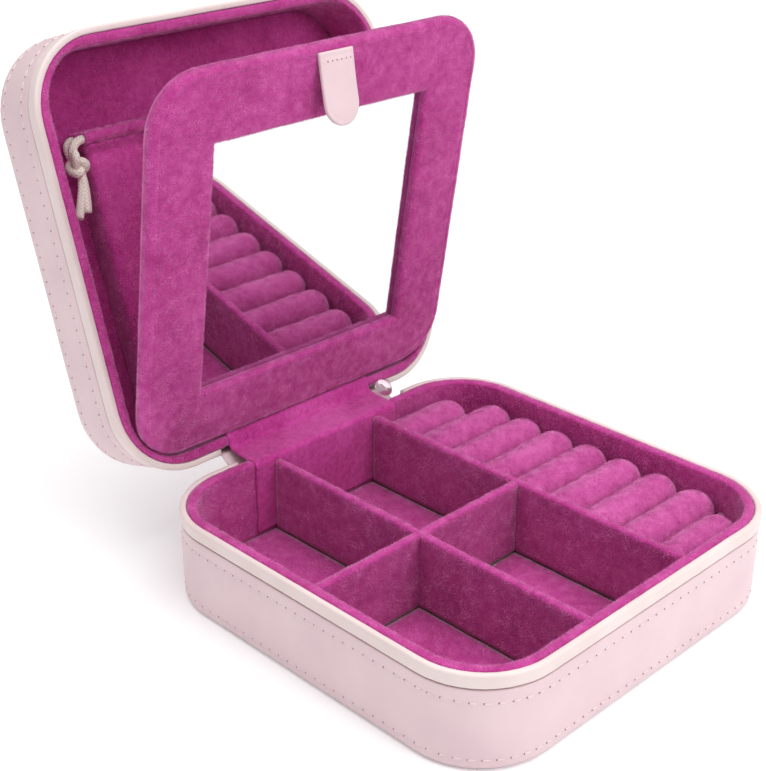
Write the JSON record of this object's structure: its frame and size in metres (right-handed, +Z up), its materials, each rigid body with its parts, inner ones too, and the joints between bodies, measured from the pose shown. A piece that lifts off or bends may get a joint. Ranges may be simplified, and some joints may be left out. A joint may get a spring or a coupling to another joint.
{
  "type": "jewelry box",
  "caption": "Square hinged travel jewelry box with a mirror panel tilting out of the lid, divided tray and ring rolls, shown open.",
  "frame": {"origin": "middle of the flat bottom face of the base", "axes": "+Z up, +Y towards the hinge, +X to the right when seen from the front"},
  "size_m": [0.1456, 0.2136, 0.1682],
  "materials": {
    "leather": "fine grain, satin",
    "bead_leather": "smooth, satin",
    "velvet": "short nap velvet",
    "board": "matt",
    "mirror": "silvered glass",
    "magnet": "nickel plated",
    "cord": "round elastic cord",
    "bumper": "soft clear dome over velvet"
  },
  "bodies": {
    "base": {"base_bottom_cover": "leather", "base_side_wrap": "leather", "base_floor_board": "board", "base_wall_board": "board", "base_bead": "bead_leather", "base_lining": "velvet", "base_floor_pad": "velvet", "base_magnets": "magnet", "ring_divider": "velvet", "centre_divider": "velvet", "cross_divider": "velvet", "ring_bed": "velvet", "ring_roll_1": "velvet", "ring_roll_2": "velvet", "ring_roll_3": "velvet", "ring_roll_4": "velvet", "ring_roll_5": "velvet", "ring_roll_6": "velvet", "ring_roll_7": "velvet", "ring_roll_8": "velvet", "ring_roll_9": "velvet", "hinge_strip": "velvet", "hinge_spine": "leather", "hinge_bumper": "bumper"},
    "lid": {"lid_top_cover": "leather", "lid_side_wrap": "leather", "lid_top_board": "board", "lid_wall_board": "board", "lid_bead": "bead_leather", "lid_lining": "velvet", "lid_floor_lining": "velvet", "lid_magnets": "magnet", "pocket": "velvet", "pocket_hem": "velvet", "drawcord": "cord", "drawcord_tail_a": "cord", "drawcord_tail_b": "cord", "drawcord_knot": "cord", "panel_hinge_tape": "velvet"},
    "mirror_panel": {"panel_front_velvet": "velvet", "panel_frame_board": "board", "panel_glass_carrier": "board", "mirror_glass": "mirror", "panel_back_velvet": "velvet"},
    "pull_tab": {"pull_tab": "leather"}
  },
  "joints": [
    {"name": "lid_hinge", "type": "hinge", "parent": "base", "child": "lid", "pos_m": [0, 0.07475, 0.0291], "axis": [1, 0, 0], "range_deg": [0, 107], "deforming": ["hinge_strip", "hinge_spine", "hinge_bumper"]},
    {"name": "panel_tilt", "type": "hinge", "parent": "lid", "child": "mirror_panel", "pos_m": [0, 0.08461, 0.03811], "axis": [1, 0, 0], "range_deg": [-26.01, 0], "deforming": ["panel_hinge_tape"]},
    {"name": "tab_flex", "type": "hinge", "parent": "mirror_panel", "child": "pull_tab", "pos_m": [0, 0.0606, 0.16355], "axis": [1, 0, 0], "range_deg": [-40, 14], "stiffness_Nm_per_rad": 0.002}
  ],
  "couplings": [
    {"joint": "panel_tilt", "follows": "lid_hinge", "ratio": -0.243}
  ]
}
